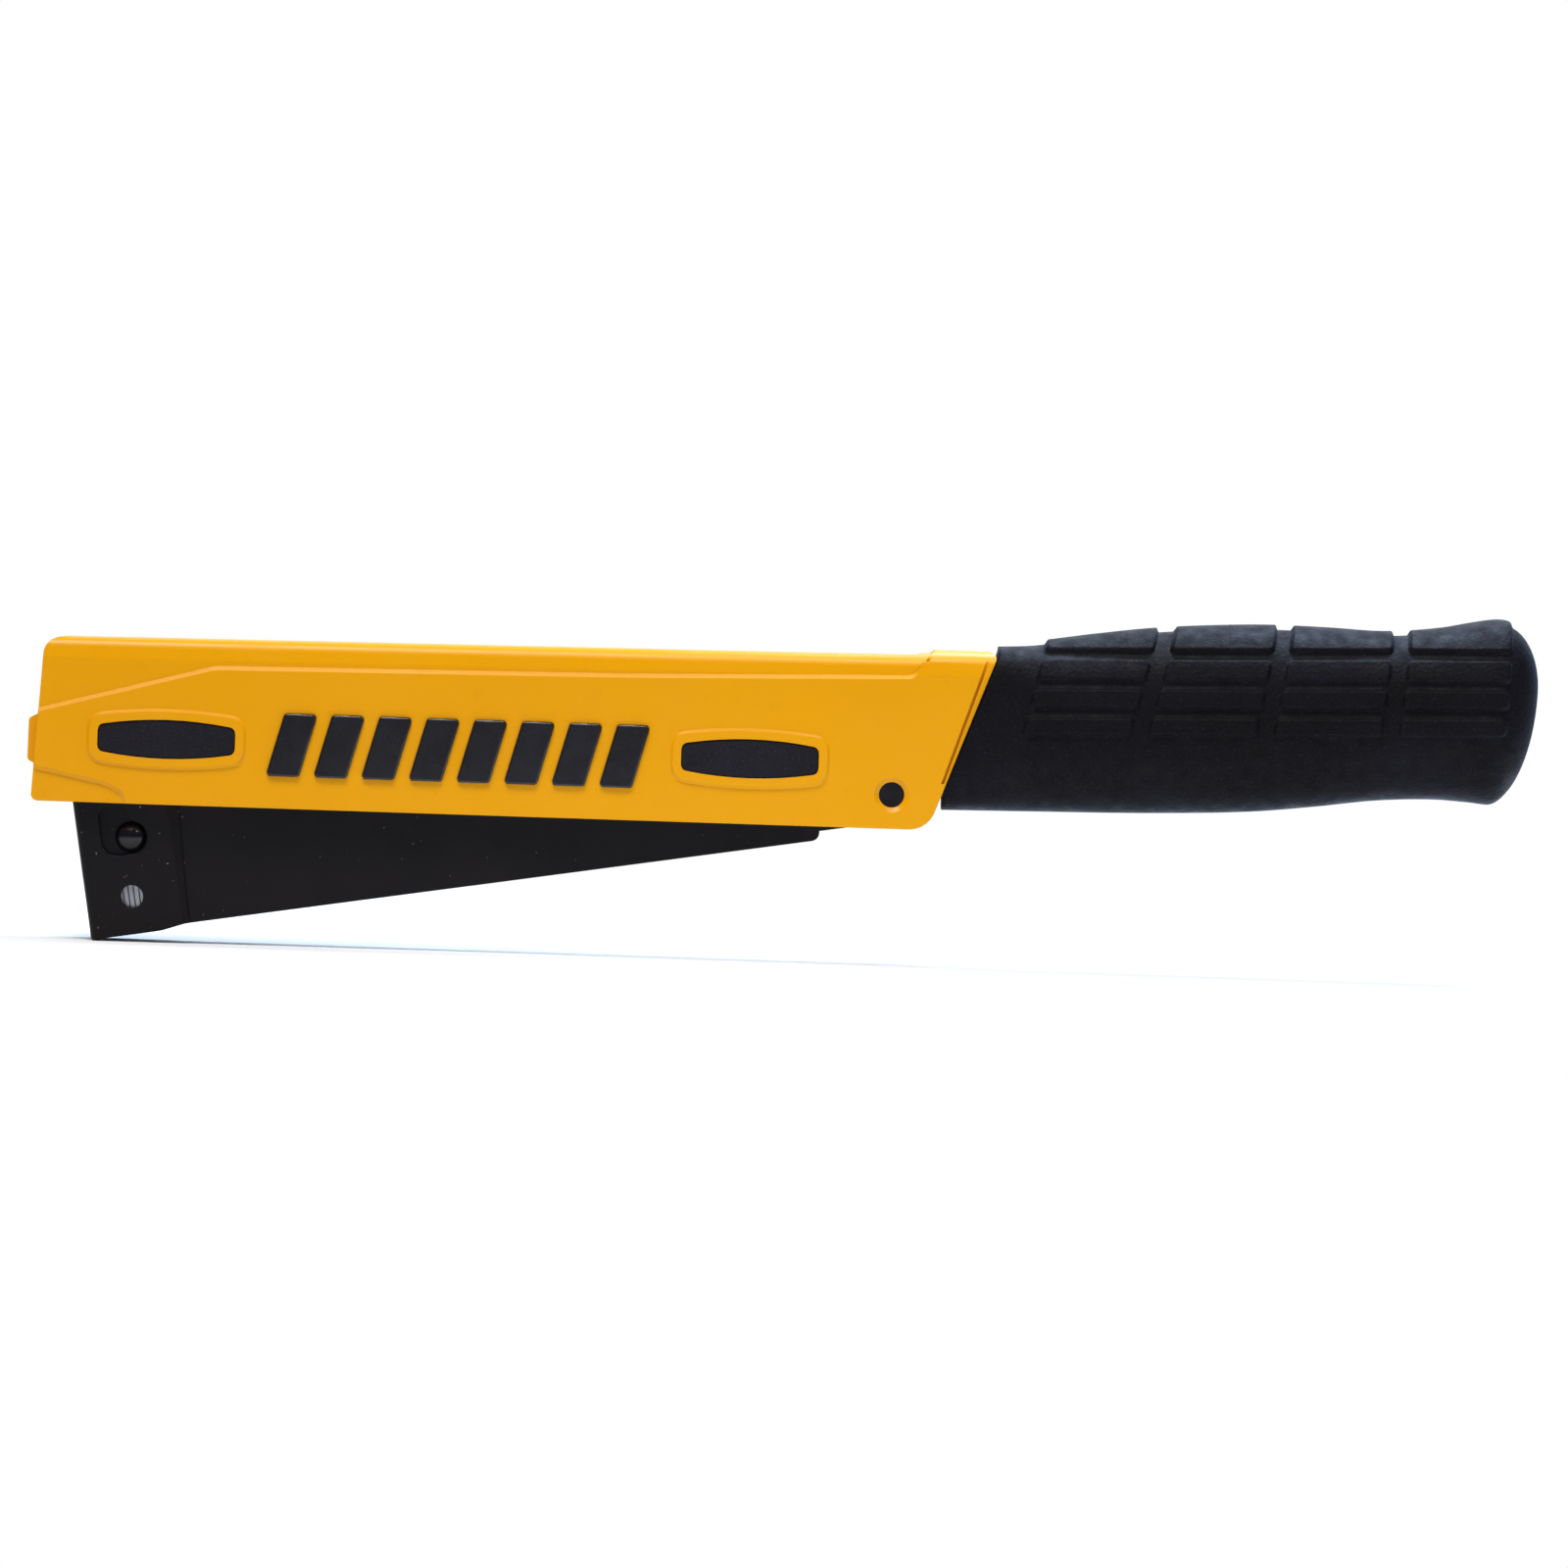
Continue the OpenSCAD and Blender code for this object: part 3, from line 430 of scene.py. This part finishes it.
def piece(name, verts, faces, body, slot, materials, replaced):
    """A new piece that rides on a body and stands for the CAD nodes named in `replaced`."""
    mesh = bpy.data.meshes.new(name)
    mesh.from_pydata([tuple(v) for v in verts], [], faces)
    mesh.validate()
    mesh.materials.append(materials[slot])
    for polygon in mesh.polygons:
        polygon.use_smooth = True
    obj = bpy.data.objects.new(name, mesh)
    bpy.context.scene.collection.objects.link(obj)
    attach(obj, body)
    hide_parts(*replaced)
    return obj


def smooth_curve(table):
    """A smooth curve through [x, value] pairs."""
    xs = [p[0] for p in table]
    ys = [p[1] for p in table]
    chords = [(ys[i + 1] - ys[i]) / (xs[i + 1] - xs[i]) for i in range(len(xs) - 1)]
    slopes = [chords[0]] + [(a + b) / 2 for a, b in zip(chords, chords[1:])] + [chords[-1]]

    def value(x):
        if x <= xs[0]:
            return ys[0] + slopes[0] * (x - xs[0])
        if x >= xs[-1]:
            return ys[-1]
        i = max(k for k in range(len(xs) - 1) if xs[k] <= x)
        span = xs[i + 1] - xs[i]
        t = (x - xs[i]) / span
        return (ys[i] * (1 + 2 * t) * (1 - t) ** 2 + ys[i + 1] * t * t * (3 - 2 * t)
                + span * (slopes[i] * t * (1 - t) ** 2 - slopes[i + 1] * t * t * (1 - t)))

    return value


def smooth_step(t):
    t = min(max(t, 0.0), 1.0)
    return t * t * (3 - 2 * t)


# The grip's outline as in the CAD model, in millimetres from the pivot pin
GRIP_TOP = smooth_curve([(10, 33), (24, 35.3), (33, 36), (47, 38.2), (60, 40), (75, 41.2), (88, 41.7),
                         (102, 41.5), (115, 41.1), (128, 42.3), (136, 43.9), (141, 44.7), (145, 44.6)])
GRIP_BOTTOM = smooth_curve([(10, -3.4), (30, -3.2), (65, -2.5), (86, -1.4), (100, 0.2), (114, 2.1),
                            (128, 2.8), (136, 2.4), (141, 2), (145, 2.4)])
GRIP_HALF_WIDTH = smooth_curve([(10, 13.7), (30, 14.7), (60, 15.5), (90, 15.5), (115, 15.2), (128, 15.4),
                                (140, 16.5), (145, 16.4)])
GRIP_LEAN = smooth_curve([(18.6, 0.37), (30, 0.25), (60, 0.25), (90, 0.17), (120, 0.1), (142, 0.05)])
GRIP_POWER = smooth_curve([(18.6, 0.42), (40, 0.82), (60, 0.82)])
GRIP_FRONT = 18.6
GRIP_REF_Z = 18
# The leaning outline is read this far above and below GRIP_REF_Z
LEAN_ABOVE = 22
LEAN_BELOW = 20
LEAN_LOW = 0
LEAN_HIGH = 33.2
BLOCK_STARTS = [30.4 + 29.3 * i for i in range(4)]
BLOCK_LENGTH = 26
BLOCK_HEIGHT = 1.2
BLOCK_SIDE_SHARE = 0.8
BLOCK_EDGE = 0.9
BLOCK_CORNER = 1.6
BLOCK_ROWS = [(16.1, 21), (22.4, 27.5), (28.6, 34.3), (35.4, 70)]
ROW_RISE = math.tan(math.radians(1.7))
ROW_MID = 75
CAP_START = 141.5
CAP_LENGTH = 10
CAP_Z = 28
# The mesh has steps of FINE from EDGE_OUT outside a block to EDGE_IN inside it, or END_IN inside its ends and
# the crest row's foot
FINE = 0.2
EDGE_OUT = 0.1
EDGE_IN = 1.3
END_IN = 1.5


def block_amount(x, row_z):
    """How far a point of the grip is raised: 1 on a block and 0 in the grooves."""
    best = 0.0
    for start in BLOCK_STARTS:
        for low, high in BLOCK_ROWS:
            dx = abs(x - start - BLOCK_LENGTH / 2) - BLOCK_LENGTH / 2 + BLOCK_CORNER
            dz = abs(row_z - (low + high) / 2) - (high - low) / 2 + BLOCK_CORNER
            outside = math.hypot(max(dx, 0), max(dz, 0)) + min(max(dx, dz), 0) - BLOCK_CORNER
            best = max(best, smooth_step(-outside / BLOCK_EDGE))
    return best


def spaced(low, high, step):
    """Even places from low up to, but not at, high."""
    count = max(1, round((high - low) / step))
    return [low + (high - low) * k / count for k in range(count)]


def grip_rings():
    """Places of the rings along the grip, close together at the blocks' ends."""
    coarse = 0.9
    cap_turn = 0.06
    marks = [GRIP_FRONT]
    for start in BLOCK_STARTS:
        end = start + BLOCK_LENGTH
        marks += [start - EDGE_OUT, start + END_IN, end - END_IN, end + EDGE_OUT]
    rings = []
    for k, (a, b) in enumerate(zip(marks, marks[1:])):
        rings += spaced(a, b, FINE if k % 2 else coarse)
    angles = spaced(math.asin((marks[-1] - CAP_START) / CAP_LENGTH), math.pi / 2, cap_turn)
    return rings + [CAP_START + CAP_LENGTH * math.sin(a) for a in angles]


def grip_levels():
    """Levels of one side from the bottom: [share of the half height, False] or [height, True]."""
    coarse = 0.6
    lower_arc = 78
    arc_step = 5
    levels = [(-math.cos(math.radians(a)), False) for a in spaced(0, lower_arc, arc_step)]
    for low, high in BLOCK_ROWS[:-1]:
        levels += [(z, True) for z in spaced(low - EDGE_OUT, low + EDGE_IN, FINE)]
        levels += [(z, True) for z in spaced(low + EDGE_IN, high - EDGE_IN, coarse)]
        levels += [(z, True) for z in spaced(high - EDGE_IN, high + EDGE_OUT, FINE)]
    crest = BLOCK_ROWS[-1][0]
    return levels + [(z, True) for z in spaced(crest - EDGE_OUT, crest + END_IN, FINE)]


def grip_point(x, level, crest_share, side):
    """A point of the skin at a level, or past the last level at a share of the way to the crest."""
    lean = GRIP_LEAN(x)
    power = GRIP_POWER(x)
    high = GRIP_TOP(x + LEAN_ABOVE * lean)
    low = GRIP_BOTTOM(x - LEAN_BELOW * lean)
    middle = (high + low) / 2
    half = (high - low) / 2
    row_shift = (x - ROW_MID) * ROW_RISE

    def angle_at(height):
        share = (height + row_shift - middle) / half
        share = min(max(share, -0.999), 0.999)
        return math.copysign(math.asin(abs(share) ** (1 / power)), share)

    if level[1]:
        angle = angle_at(level[0])
    else:
        angle = math.copysign(math.asin(min(abs(level[0]), 1)), level[0])
    if crest_share is not None:
        last = angle_at(level[0])
        angle = last + (math.pi / 2 - last) * crest_share
    sine = math.sin(angle)
    z = middle + half * math.copysign(abs(sine) ** power, sine)
    raised = BLOCK_HEIGHT * block_amount(x, z - row_shift)
    z = middle + (half + raised) * math.copysign(abs(sine) ** power, sine)
    y = (GRIP_HALF_WIDTH(x) + raised * BLOCK_SIDE_SHARE) * abs(math.cos(angle)) ** power
    if x > CAP_START:
        shrink = math.sqrt(max(1 - ((x - CAP_START) / CAP_LENGTH) ** 2, 0.0001))
        z = CAP_Z + (z - CAP_Z) * shrink
        y *= shrink
    lean_at = z
    if x < BLOCK_STARTS[0]:
        limited = min(max(z, LEAN_LOW), LEAN_HIGH)
        share = smooth_step((BLOCK_STARTS[0] - x) / (BLOCK_STARTS[0] - GRIP_FRONT))
        lean_at = z + (limited - z) * share
    return at(x + lean * (lean_at - GRIP_REF_Z), side * y, z)


def make_grip(materials):
    levels = grip_levels()
    top = levels[-1]
    crest_shares = [0.12, 0.24, 0.36, 0.48, 0.6, 0.72, 0.84, 0.93]
    side = [(level, None) for level in levels[1:]] + [(top, share) for share in crest_shares]
    loop = [(levels[0], None, 1)] + [(a, b, 1) for a, b in side] + [(top, 1.0, 1)]
    loop += [(a, b, -1) for a, b in reversed(side)]
    rings = grip_rings()
    verts = [grip_point(x, *entry) for x in rings for entry in loop]
    n = len(loop)
    faces = [(i * n + k, i * n + (k + 1) % n, (i + 1) * n + (k + 1) % n, (i + 1) * n + k)
             for i in range(len(rings) - 1) for k in range(n)]
    faces.append(tuple(range(n - 1, -1, -1)))
    faces.append(tuple((len(rings) - 1) * n + k for k in range(n)))
    piece("grip_skin", verts, faces, "head", "grip_rubber", materials, ["grip_sleeve"])


def helix(mean_radius, wire_radius, length, turns, per_turn, place):
    """Points of a compression spring with closed ends; place() carries them into the frame."""
    points = []
    # Half a turn at each end doesn't climb
    dead = 1 / turns
    for i in range(turns * per_turn + 1):
        t = i / (turns * per_turn)
        climb = min(max((t - dead / 2) / (1 - dead), 0), 1)
        angle = 2 * math.pi * turns * t
        points.append(place(mean_radius * math.cos(angle), mean_radius * math.sin(angle),
                            wire_radius + (length - 2 * wire_radius) * climb))
    return points


def spring_tube(points, radius, sides, axis):
    """A round wire along a coil, with each ring square to the wire."""
    verts = []
    for i, p in enumerate(points):
        along = (points[min(i + 1, len(points) - 1)] - points[max(i - 1, 0)]).normalized()
        across = along.cross(axis).normalized()
        other = across.cross(along)
        verts += [p + radius * (math.cos(a) * across + math.sin(a) * other)
                  for a in (2 * math.pi * k / sides for k in range(sides))]
    faces = []
    for i in range(len(points) - 1):
        for k in range(sides):
            a, b = i * sides + k, i * sides + (k + 1) % sides
            faces.append((a, b, b + sides, a + sides))
    faces.append(tuple(range(sides - 1, -1, -1)))
    faces.append(tuple((len(points) - 1) * sides + k for k in range(sides)))
    return verts, faces


def make_return_spring(materials):
    low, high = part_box("return_spring")
    middle = (low + high) / 2
    wire = 0.7
    turns = 5
    mean = (high.x - low.x) / 2 / MM - wire
    length = (high.z - low.z) / MM
    points = helix(mean, wire, length, turns, per_turn=40,
                   place=lambda x, y, z: Vector((middle.x, 0, low.z)) + Vector((x, y, z)) * MM)
    verts, faces = spring_tube(points, wire * MM, sides=12, axis=Vector((0, 0, 1)))
    spring = piece("return_spring_coil", verts, faces, "head", "spring_wire", materials,
                   ["return_spring"])
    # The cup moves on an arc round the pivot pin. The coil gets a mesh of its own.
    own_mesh(spring)


def make_pusher_spring(materials):
    """The long spring on the pusher's rod, in millimetres in the magazine's frame."""
    start = -127.05
    length = 74.95
    rod_z = -1.6
    mean = 2.0
    wire = 0.3
    turns = 26
    points = helix(mean, wire, length, turns, per_turn=20,
                   place=lambda x, y, z: in_magazine(start + z, y, rod_z + x))
    along = in_magazine(1, 0, 0) - in_magazine(0, 0, 0)
    verts, faces = spring_tube(points, wire * MM, sides=8, axis=along.normalized())
    spring = piece("pusher_spring_coil", verts, faces, "rail", "spring_wire", materials,
                   ["pusher_spring"])
    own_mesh(spring)


# One staple, in millimetres: the strip lies along the magazine's frame, with its crowns at CROWN_Z
STAPLE_COUNT = 40
STAPLE_PITCH = 1.27
STAPLE_FRONT = -187.95
WIRE_WIDTH = 1.21
CROWN_Z = 3.2
HALF_CROWN = 5.5
LEG = 10
CROWN_THICKNESS = 1.0
LEG_THICKNESS = 1.2
SHOULDER = 0.8
INNER_CORNER = 0.2
CORNER_STEPS = 5
WIRE_ROUNDING = 0.16


def mirrored(points):
    return points + [(-y, z) for y, z in reversed(points)]


def staple_outlines():
    """Outer and inner outline of a staple, from one leg's tip over the crown to the other's."""
    leg_tip = CROWN_Z - LEG
    outer = [(HALF_CROWN, leg_tip)]
    inner = [(HALF_CROWN - LEG_THICKNESS, leg_tip)]
    for k in range(CORNER_STEPS + 1):
        a = math.pi / 2 * k / CORNER_STEPS
        outer.append((HALF_CROWN - SHOULDER + SHOULDER * math.cos(a),
                      CROWN_Z - SHOULDER + SHOULDER * math.sin(a)))
        inner.append((HALF_CROWN - LEG_THICKNESS - INNER_CORNER + INNER_CORNER * math.cos(a),
                      CROWN_Z - CROWN_THICKNESS - INNER_CORNER + INNER_CORNER * math.sin(a)))
    return mirrored(outer), mirrored(inner)


def staple_verts(x0, outline, inline):
    """Four rows of points across the wire, drawn in at its two faces to round it."""
    verts = []
    for dx, inset in [(0, WIRE_ROUNDING), (WIRE_ROUNDING, 0),
                      (WIRE_WIDTH - WIRE_ROUNDING, 0), (WIRE_WIDTH, WIRE_ROUNDING)]:
        for (oy, oz), (iy, iz) in zip(outline, inline):
            length = math.hypot(iy - oy, iz - oz)
            sy, sz = (iy - oy) / length * inset, (iz - oz) / length * inset
            verts.append(in_magazine(x0 + dx, oy + sy, oz + sz))
            verts.append(in_magazine(x0 + dx, iy - sy, iz - sz))
    return verts


def staple_faces(base, m):
    """Faces of a staple whose outlines have m points and whose first point is number base."""
    row = 2 * m
    last = 3
    faces = []
    for s in range(last):
        for j in range(m - 1):
            a = base + s * row + 2 * j
            faces.append((a, a + row, a + row + 2, a + 2))
            faces.append((a + 1, a + 3, a + row + 3, a + row + 1))
        for j in (0, m - 1):
            a = base + s * row + 2 * j
            quad = (a, a + 1, a + row + 1, a + row)
            faces.append(quad if j == 0 else quad[::-1])
    for s in (0, last):
        for j in range(m - 1):
            a = base + s * row + 2 * j
            quad = (a, a + 2, a + 3, a + 1)
            faces.append(quad if s == 0 else quad[::-1])
    return faces


def make_staples(materials):
    """A strip of glued staples, each one a bent wire with rounded shoulders."""
    outline, inline = staple_outlines()
    verts = []
    faces = []
    for i in range(STAPLE_COUNT):
        faces += staple_faces(len(verts), len(outline))
        verts += staple_verts(STAPLE_FRONT + i * STAPLE_PITCH, outline, inline)
    strip = piece("staple_wires", verts, faces, "rail", "staple_wire", materials, ["staple_strip"])
    strip.data.set_sharp_from_angle(angle=math.radians(35))


def main():
    bpy.context.scene.view_settings.view_transform = "Standard"
    make_camera()
    make_world()
    make_lights()
    make_floor()
    materials = make_materials()
    dress_all(materials)
    make_grip(materials)
    make_return_spring(materials)
    make_pusher_spring(materials)
    make_staples(materials)


main()
